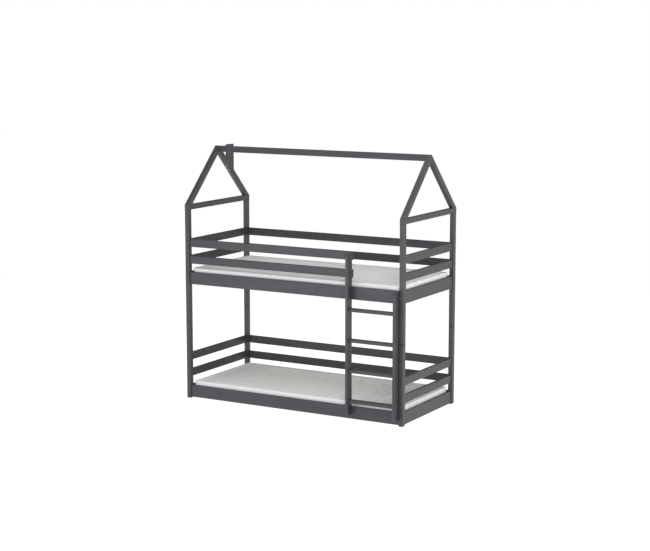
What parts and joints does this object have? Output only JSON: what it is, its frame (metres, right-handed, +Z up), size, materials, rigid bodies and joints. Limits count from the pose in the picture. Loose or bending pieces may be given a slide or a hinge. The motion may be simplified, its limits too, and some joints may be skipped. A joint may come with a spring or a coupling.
{
  "type": "kids bunk bed",
  "caption": "House-shaped children's bunk bed: a low bed, a guarded upper bed with a fixed front ladder, a gabled roof frame with a chimney board, and lift-out quilted mattresses.",
  "frame": {"origin": "middle of the footprint, ladder included, on the floor", "axes": "+Z up, +X to the right as seen from the ladder side, -Y towards the ladder side"},
  "size_m": [1.88, 0.917, 1.934],
  "materials": {
    "dark_lacquered_wood": "dark grey satin lacquer with faint grain",
    "bare_wood": "planed softwood, no lacquer",
    "quilted_cover": "pale quilted knit",
    "cotton_webbing": "woven tape",
    "zinc_plated_steel": "bright zinc plate",
    "cap_plastic": "dark grey, flush"
  },
  "bodies": {
    "frame": {"lower_post_front_left": "dark_lacquered_wood", "lower_post_front_right": "dark_lacquered_wood", "lower_post_rear_left": "dark_lacquered_wood", "lower_post_rear_right": "dark_lacquered_wood", "upper_post_front_left": "dark_lacquered_wood", "upper_post_front_right": "dark_lacquered_wood", "upper_post_rear_left": "dark_lacquered_wood", "upper_post_rear_right": "dark_lacquered_wood", "lower_front_rail": "dark_lacquered_wood", "lower_rear_rail": "dark_lacquered_wood", "lower_left_rail": "dark_lacquered_wood", "lower_right_rail": "dark_lacquered_wood", "upper_front_rail": "dark_lacquered_wood", "upper_rear_rail": "dark_lacquered_wood", "upper_left_rail": "dark_lacquered_wood", "upper_right_rail": "dark_lacquered_wood", "lower_rear_guard_1": "dark_lacquered_wood", "lower_rear_guard_2": "dark_lacquered_wood", "lower_left_guard_1": "dark_lacquered_wood", "lower_left_guard_2": "dark_lacquered_wood", "lower_right_guard_1": "dark_lacquered_wood", "lower_right_guard_2": "dark_lacquered_wood", "upper_front_guard_1": "dark_lacquered_wood", "upper_front_guard_2": "dark_lacquered_wood", "upper_rear_guard_1": "dark_lacquered_wood", "upper_rear_guard_2": "dark_lacquered_wood", "upper_left_guard_1": "dark_lacquered_wood", "upper_left_guard_2": "dark_lacquered_wood", "upper_right_guard_1": "dark_lacquered_wood", "upper_right_guard_2": "dark_lacquered_wood", "ladder_left_stile": "dark_lacquered_wood", "ladder_right_stile": "dark_lacquered_wood", "ladder_rung_1": "dark_lacquered_wood", "ladder_rung_2": "dark_lacquered_wood", "ladder_rung_3": "dark_lacquered_wood", "ladder_rung_4": "dark_lacquered_wood", "left_front_rafter": "dark_lacquered_wood", "left_rear_rafter": "dark_lacquered_wood", "right_front_rafter": "dark_lacquered_wood", "right_rear_rafter": "dark_lacquered_wood", "ridge_beam": "dark_lacquered_wood", "left_tie_beam": "dark_lacquered_wood", "right_tie_beam": "dark_lacquered_wood", "chimney": "dark_lacquered_wood", "lower_cleats": "dark_lacquered_wood", "upper_cleats": "dark_lacquered_wood", "lower_slats": "bare_wood", "upper_slats": "bare_wood", "slat_tapes": "cotton_webbing", "post_pins": "zinc_plated_steel", "rail_bolts": "zinc_plated_steel", "barrel_nuts": "zinc_plated_steel", "screw_caps": "cap_plastic", "wood_dowels": "bare_wood", "guard_screws": "zinc_plated_steel", "ladder_screws": "zinc_plated_steel", "roof_screws": "zinc_plated_steel", "cleat_screws": "zinc_plated_steel"},
    "lower_mattress": {"lower_mattress": "quilted_cover"},
    "upper_mattress": {"upper_mattress": "quilted_cover"}
  },
  "joints": [
    {"name": "lower_mattress_lift", "type": "slide", "parent": "frame", "child": "lower_mattress", "axis": [0, 0, 1], "range_m": [0, 0.32]},
    {"name": "upper_mattress_lift", "type": "slide", "parent": "frame", "child": "upper_mattress", "axis": [0, 0, 1], "range_m": [0, 0.32]}
  ]
}
